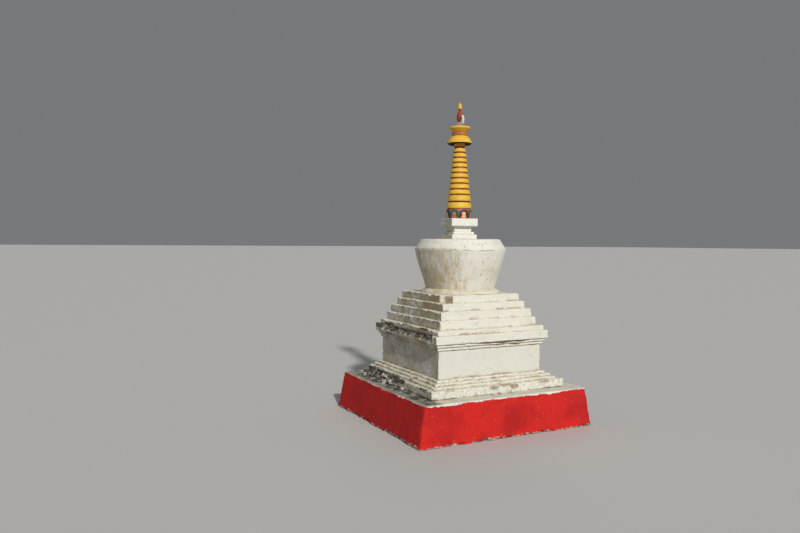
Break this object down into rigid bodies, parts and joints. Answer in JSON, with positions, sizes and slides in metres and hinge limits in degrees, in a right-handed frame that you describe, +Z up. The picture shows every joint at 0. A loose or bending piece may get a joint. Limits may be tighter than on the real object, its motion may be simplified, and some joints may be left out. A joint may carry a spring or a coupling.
{
  "type": "stupa",
  "caption": "Small whitewashed masonry stupa on a red plinth, with stepped terraces, a round bowl and a painted ringed spire topped by umbrella, moon and sun.",
  "frame": {"origin": "middle of the plinth's underside at ground level, on the spire's axis", "axes": "+Z up along the spire, the sunlit face of the picture towards -Y, its shaded face towards -X"},
  "size_m": [1.734, 1.664, 2.8785],
  "materials": {
    "limewash": "matt limewash on mud and stone, stained and chipped",
    "red_oxide": "matt red wash on rough plaster",
    "yellow_paint": "satin yellow paint on plaster",
    "orange_red_paint": "matt orange red paint on plaster",
    "salmon_paint": "matt salmon paint on plaster with painted lotus petals",
    "white_paint": "satin white paint"
  },
  "bodies": {
    "root": {"plinth_wall": "red_oxide", "plinth_cap": "limewash", "base_block": "limewash", "base_step_1": "limewash", "base_step_2": "limewash", "base_step_3": "limewash", "throne_body": "limewash", "cornice_moulding_lower": "limewash", "cornice_moulding_upper": "limewash", "cornice_slab": "limewash", "cornice_lip": "limewash", "terrace_step_1": "limewash", "terrace_step_2": "limewash", "terrace_step_3": "limewash", "terrace_step_4": "limewash", "bowl_foot": "limewash", "bowl": "limewash", "neck_step_1": "limewash", "neck_step_2": "limewash", "neck_step_3": "limewash", "neck_band": "limewash", "neck_plate": "limewash", "lotus_base": "salmon_paint", "spire_core": "orange_red_paint", "spire_ring_01": "yellow_paint", "spire_ring_02": "yellow_paint", "spire_ring_03": "yellow_paint", "spire_ring_04": "yellow_paint", "spire_ring_05": "yellow_paint", "spire_ring_06": "yellow_paint", "spire_ring_07": "yellow_paint", "spire_ring_08": "yellow_paint", "spire_ring_09": "yellow_paint", "spire_ring_10": "yellow_paint", "spire_ring_11": "yellow_paint", "spire_collar": "orange_red_paint", "umbrella_bell": "yellow_paint", "umbrella_collar": "salmon_paint", "umbrella_cup": "yellow_paint", "crescent_moon": "white_paint", "sun_oval": "orange_red_paint", "finial_tip": "yellow_paint"}
  },
  "joints": []
}
